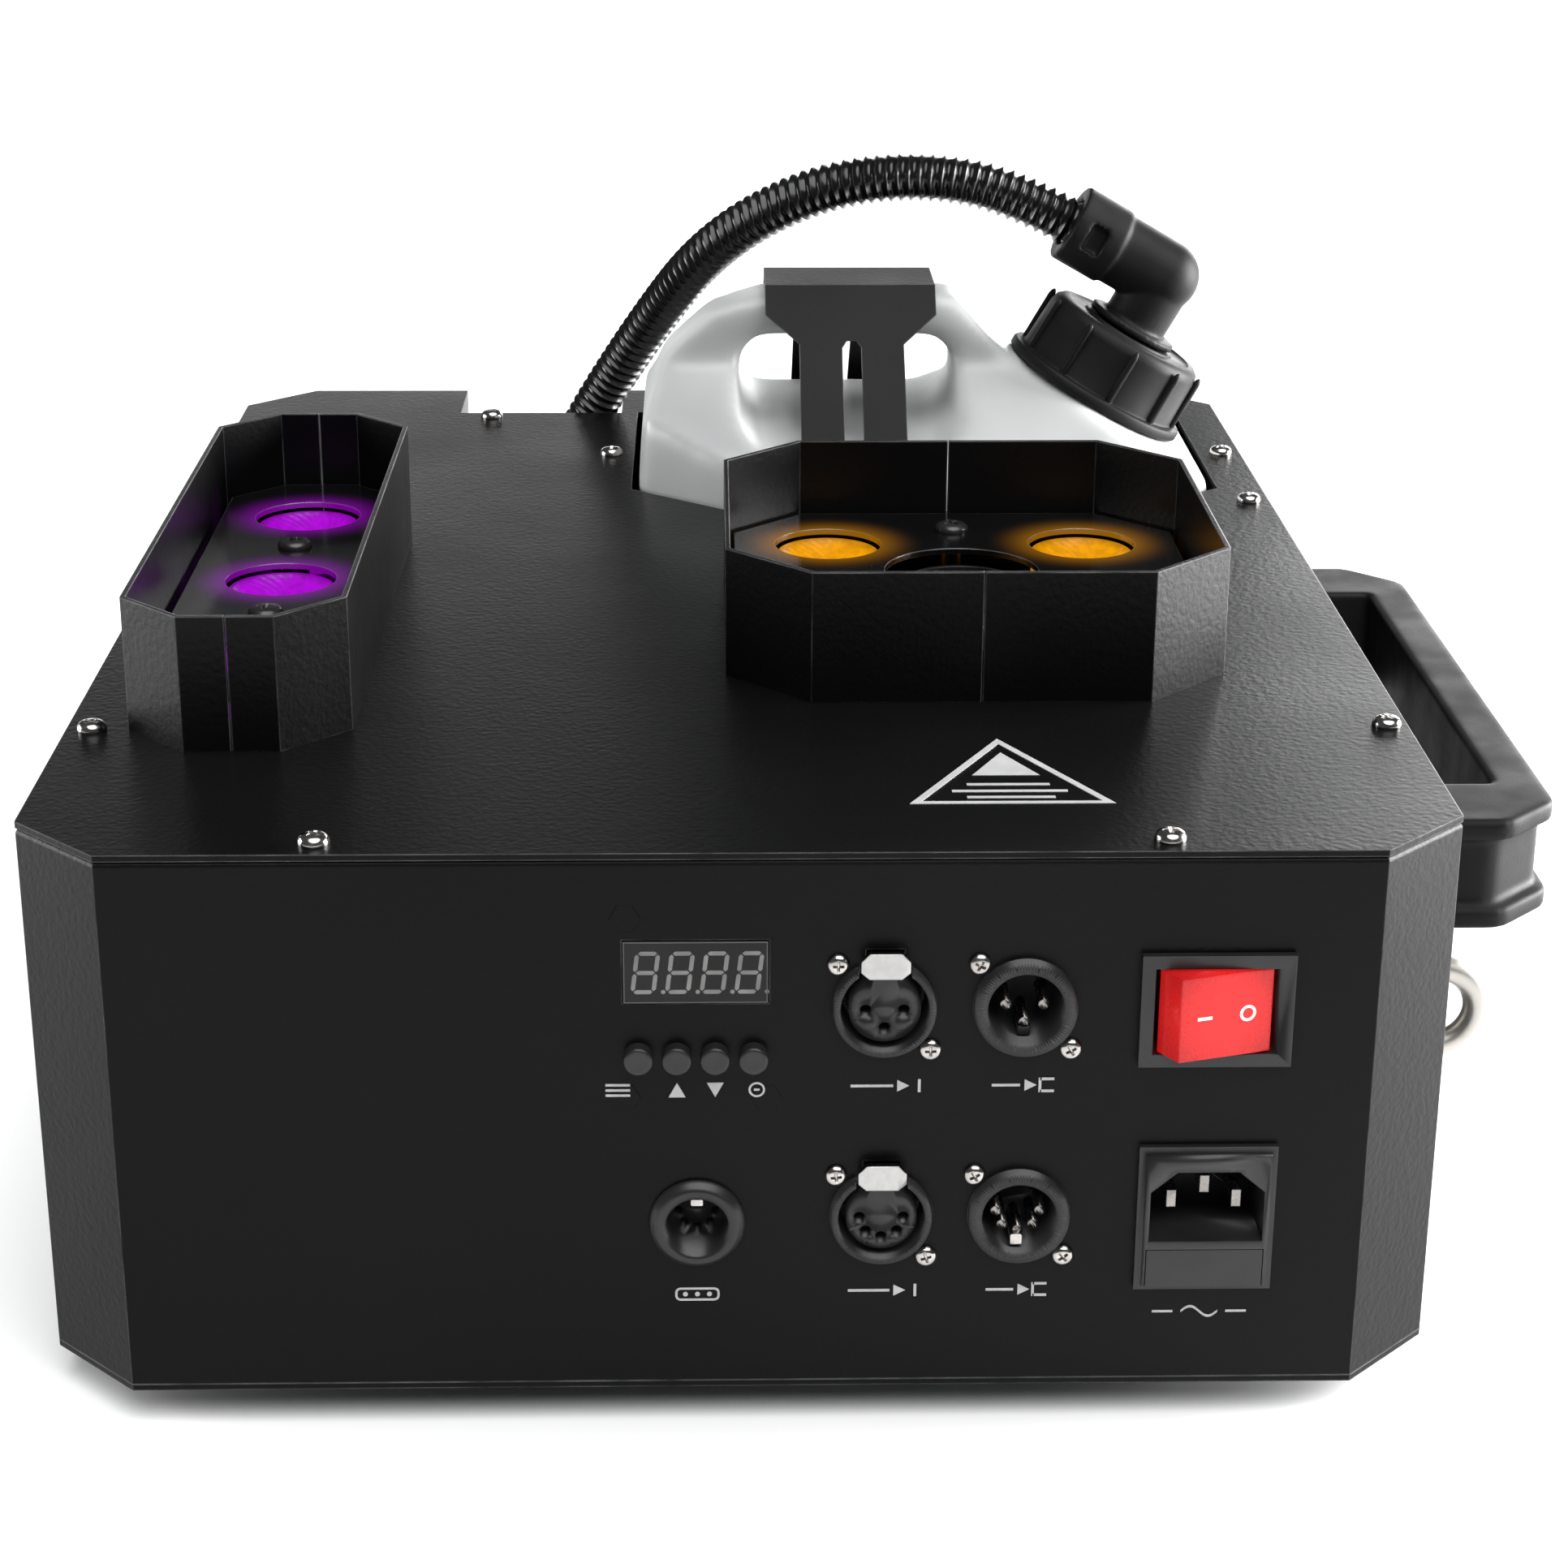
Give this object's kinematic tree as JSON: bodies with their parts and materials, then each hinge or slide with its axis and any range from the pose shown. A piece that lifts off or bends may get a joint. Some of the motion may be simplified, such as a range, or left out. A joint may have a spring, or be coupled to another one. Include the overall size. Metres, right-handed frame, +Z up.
{
  "type": "fog machine",
  "caption": "Low black fog machine with two lens hoods on its cover, a fluid bottle clamped in a well, an arched suction hose, a side handle and a front control panel.",
  "frame": {"origin": "middle of the footprint on the floor, under the feet", "axes": "+Z up, the control panel faces -Y, the side handle is at +X"},
  "size_m": [0.343, 0.4068, 0.2236],
  "materials": {
    "amber_lens": "lit facetted amber",
    "black_gloss_plastic": "glossy",
    "black_plastic": "matt moulded",
    "black_powder_coat": "satin, fine orange peel",
    "black_rubber": "matt",
    "black_steel": "satin",
    "brass": "turned",
    "cast_aluminium": "as cast",
    "circuit_board": "solder mask",
    "clear_glass": "clear",
    "display_glass": "dark filter",
    "milky_plastic": "milky, slightly glossy",
    "nickel": "bright plated",
    "raw_steel": "dull drop-forged",
    "red_lens": "lit translucent red",
    "violet_lens": "lit facetted violet"
  },
  "bodies": {
    "case": {"base_pan": "black_powder_coat", "body_shell": "black_powder_coat", "bottle": "milky_plastic", "bottle_clamp": "black_steel", "bottle_well": "black_steel", "clamp_screws": "nickel", "contact_pins": "nickel", "control_board": "circuit_board", "cover_screws": "nickel", "display_module": "display_glass", "eye_bolt": "raw_steel", "fluid_lines": "milky_plastic", "fog_nozzle": "brass", "heater_brackets": "raw_steel", "heater_lower_half": "cast_aluminium", "heater_upper_half": "cast_aluminium", "heating_element": "raw_steel", "hose_bay": "black_powder_coat", "hose_elbow": "black_plastic", "hose_gland": "black_plastic", "left_hood_inner_half": "black_powder_coat", "left_hood_outer_half": "black_powder_coat", "left_led_board": "circuit_board", "left_lens_plate": "black_powder_coat", "left_lenses": "violet_lens", "lens_plate_screws": "black_steel", "mains_inlet": "black_plastic", "nozzle_shroud": "black_steel", "panel_screws": "nickel", "plug_3_pole": "black_plastic", "plug_5_pole": "black_plastic", "power_boards": "circuit_board", "pump_housing": "raw_steel", "pump_spring": "raw_steel", "remote_socket": "black_plastic", "right_hood_left_half": "black_powder_coat", "right_hood_right_half": "black_powder_coat", "right_led_board": "circuit_board", "right_lens_plate": "black_powder_coat", "right_lenses": "amber_lens", "rocker_frame": "black_plastic", "rubber_feet": "black_rubber", "side_fasteners": "nickel", "side_handle": "black_plastic", "socket_3_pole": "black_plastic", "socket_5_pole": "black_plastic", "suction_hose": "black_gloss_plastic", "thermostat": "raw_steel", "top_cover": "black_powder_coat"},
    "rocker": {"rocker_paddle": "red_lens"},
    "key_1": {"button_1": "black_plastic"},
    "key_2": {"button_2": "black_plastic"},
    "key_3": {"button_3": "black_plastic"},
    "key_4": {"button_4": "black_plastic"},
    "latch_upper": {"latch_3_pole": "nickel"},
    "latch_lower": {"latch_5_pole": "nickel"},
    "fuse_tray": {"fuse_drawer": "black_plastic", "glass_fuse": "clear_glass"},
    "cap": {"bottle_cap": "black_plastic"},
    "plunger": {"pump_plunger": "raw_steel"}
  },
  "joints": [
    {"name": "rocker_tip", "type": "hinge", "parent": "case", "child": "rocker", "pos_m": [0.0799, -0.19508, 0.098], "axis": [0, 0, 1], "range_deg": [-33.2, 0]},
    {"name": "key_1_press", "type": "slide", "parent": "case", "child": "key_1", "axis": [0, 1, 0], "range_m": [0, 0.001], "stiffness_N_per_m": 600, "springref_m": -0.0005},
    {"name": "key_2_press", "type": "slide", "parent": "case", "child": "key_2", "axis": [0, 1, 0], "range_m": [0, 0.001], "stiffness_N_per_m": 600, "springref_m": -0.0005},
    {"name": "key_3_press", "type": "slide", "parent": "case", "child": "key_3", "axis": [0, 1, 0], "range_m": [0, 0.001], "stiffness_N_per_m": 600, "springref_m": -0.0005},
    {"name": "key_4_press", "type": "slide", "parent": "case", "child": "key_4", "axis": [0, 1, 0], "range_m": [0, 0.001], "stiffness_N_per_m": 600, "springref_m": -0.0005},
    {"name": "latch_upper_press", "type": "slide", "parent": "case", "child": "latch_upper", "axis": [0, 1, 0], "range_m": [0, 0.0015], "stiffness_N_per_m": 500, "springref_m": -0.0005},
    {"name": "latch_lower_press", "type": "slide", "parent": "case", "child": "latch_lower", "axis": [0, 1, 0], "range_m": [0, 0.0015], "stiffness_N_per_m": 500, "springref_m": -0.0005},
    {"name": "fuse_tray_pull", "type": "slide", "parent": "case", "child": "fuse_tray", "axis": [0, -1, 0], "range_m": [0, 0.022]},
    {"name": "cap_turn", "type": "hinge", "parent": "case", "child": "cap", "pos_m": [0.0874, 0.11722, 0.154], "axis": [0.4939, 0, 0.8695], "continuous": true},
    {"name": "plunger_stroke", "type": "slide", "parent": "case", "child": "plunger", "axis": [0, 0, 1], "range_m": [0, 0.004], "stiffness_N_per_m": 400, "springref_m": -0.001, "deforming": ["pump_spring"]}
  ]
}
